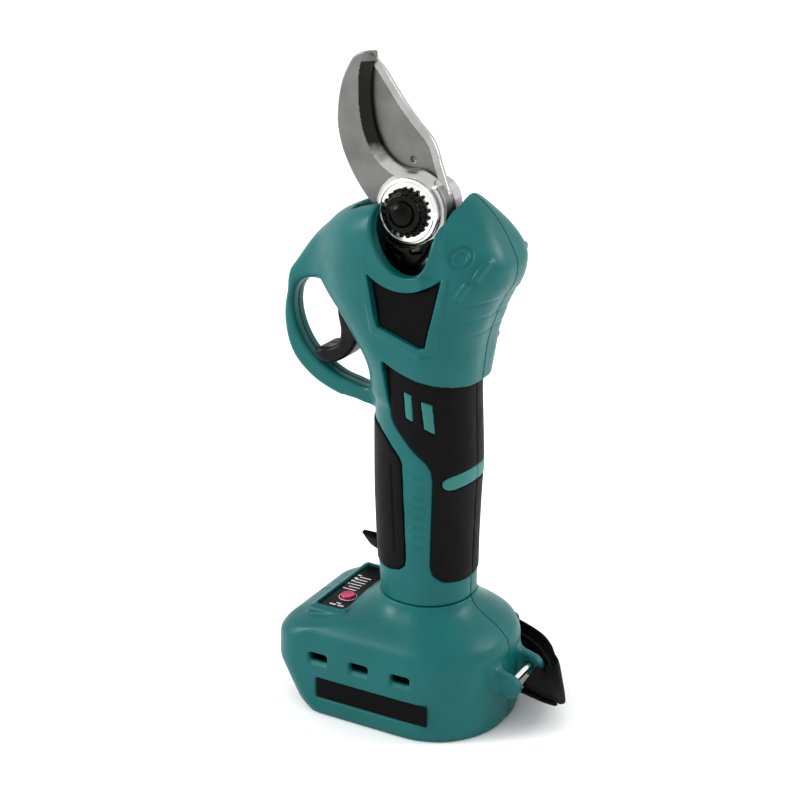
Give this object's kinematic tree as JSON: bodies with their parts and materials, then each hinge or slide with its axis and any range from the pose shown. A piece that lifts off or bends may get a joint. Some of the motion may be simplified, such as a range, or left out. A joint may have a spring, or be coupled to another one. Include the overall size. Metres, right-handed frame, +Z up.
{
  "type": "battery electric pruner",
  "caption": "Handheld battery pruning shear standing on its foot: curved hook blade and pivoting cutter, lock nut, guarded trigger, overmoulded grip and battery base.",
  "frame": {"origin": "centre of the tool's bounding box in plan, without its wrist strap, on the plane the foot stands on", "axes": "+Z up along the handle, -X towards the trigger, -Y towards the lock nut side"},
  "size_m": [0.1368, 0.0912, 0.2932],
  "materials": {
    "teal_plastic": "fine moulded grain, satin",
    "black_rubber": "soft overmould, fine grain",
    "black_plastic": "satin black",
    "circuit_board": "solder-mask green",
    "copper": "bright copper",
    "bright_steel": "polished",
    "blade_steel": "satin ground",
    "black_steel": "black oxide",
    "cast_alloy": "as cast",
    "gear_steel": "machined",
    "red_plastic": "lit key",
    "webbing": "woven nylon"
  },
  "bodies": {
    "housing": {"body_left_shell": "teal_plastic", "body_right_shell": "teal_plastic", "base_left_shell": "teal_plastic", "base_right_shell": "teal_plastic", "grip_rear_left": "black_rubber", "grip_rear_right": "black_rubber", "grip_front_left": "black_rubber", "grip_front_right": "black_rubber", "side_plate_left": "black_plastic", "side_plate_right": "black_plastic", "rating_plate_left": "black_plastic", "rating_plate_right": "black_plastic", "indicator_panel": "black_plastic", "indicator_board": "circuit_board", "controller_board": "circuit_board", "terminal_block": "black_plastic", "terminal_positive": "copper", "terminal_negative": "copper", "motor_can": "bright_steel", "motor_stator": "copper", "motor_end_cap": "black_plastic", "ring_gear": "gear_steel", "output_bearing": "bright_steel", "gear_head": "cast_alloy", "fixed_blade": "blade_steel", "pivot_bolt": "black_steel", "pivot_ring": "bright_steel", "lock_nut": "black_steel", "lock_plate": "black_steel", "lock_screw": "black_steel", "blade_screw_1": "bright_steel", "blade_screw_2": "bright_steel", "trigger_pin": "bright_steel", "trigger_switch": "black_plastic", "body_screw_1": "black_steel", "body_screw_2": "black_steel", "body_screw_3": "black_steel", "base_screw_1": "black_steel", "base_screw_2": "black_steel", "strap_pin": "bright_steel", "strap": "webbing"},
    "cutter": {"moving_blade": "blade_steel"},
    "output": {"planet_carrier": "gear_steel", "drive_pinion": "gear_steel"},
    "planet_1": {"planet_gear_1": "gear_steel"},
    "planet_2": {"planet_gear_2": "gear_steel"},
    "planet_3": {"planet_gear_3": "gear_steel"},
    "rotor": {"motor_rotor": "gear_steel", "sun_gear": "gear_steel"},
    "trigger_lever": {"trigger": "black_plastic"},
    "power_key": {"power_button": "red_plastic"}
  },
  "joints": [
    {"name": "blade_pivot", "type": "hinge", "parent": "housing", "child": "cutter", "pos_m": [0.00825, -0.0068, 0.2306], "axis": [0, 1, 0], "range_deg": [0, 45]},
    {"name": "output_spin", "type": "hinge", "parent": "housing", "child": "output", "pos_m": [0.00825, 0, 0.17], "axis": [0, 0, 1], "range_deg": [-240, 0]},
    {"name": "planet_1_spin", "type": "hinge", "parent": "output", "child": "planet_1", "pos_m": [0.00825, 0.0096, 0.1248], "axis": [0, 0, 1], "range_deg": [0, 720]},
    {"name": "planet_2_spin", "type": "hinge", "parent": "output", "child": "planet_2", "pos_m": [-0.00006, -0.0048, 0.1248], "axis": [0, 0, 1], "range_deg": [0, 720]},
    {"name": "planet_3_spin", "type": "hinge", "parent": "output", "child": "planet_3", "pos_m": [0.01656, -0.0048, 0.1248], "axis": [0, 0, 1], "range_deg": [0, 720]},
    {"name": "rotor_spin", "type": "hinge", "parent": "housing", "child": "rotor", "pos_m": [0.00825, 0, 0.096], "axis": [0, 0, 1], "range_deg": [-960, 0]},
    {"name": "trigger_pull", "type": "hinge", "parent": "housing", "child": "trigger_lever", "pos_m": [-0.02355, 0, 0.195], "axis": [0, -1, 0], "range_deg": [0, 10], "stiffness_Nm_per_rad": 0.5, "springref_deg": -8.59},
    {"name": "power_press", "type": "slide", "parent": "housing", "child": "power_key", "axis": [0, 0, -1], "range_m": [0, 0.0008], "stiffness_N_per_m": 400, "springref_m": -0.001}
  ],
  "couplings": [
    {"joint": "output_spin", "follows": "blade_pivot", "ratio": -5.25},
    {"joint": "planet_1_spin", "follows": "blade_pivot", "ratio": 15.75},
    {"joint": "planet_2_spin", "follows": "blade_pivot", "ratio": 15.75},
    {"joint": "planet_3_spin", "follows": "blade_pivot", "ratio": 15.75},
    {"joint": "rotor_spin", "follows": "blade_pivot", "ratio": -21}
  ]
}
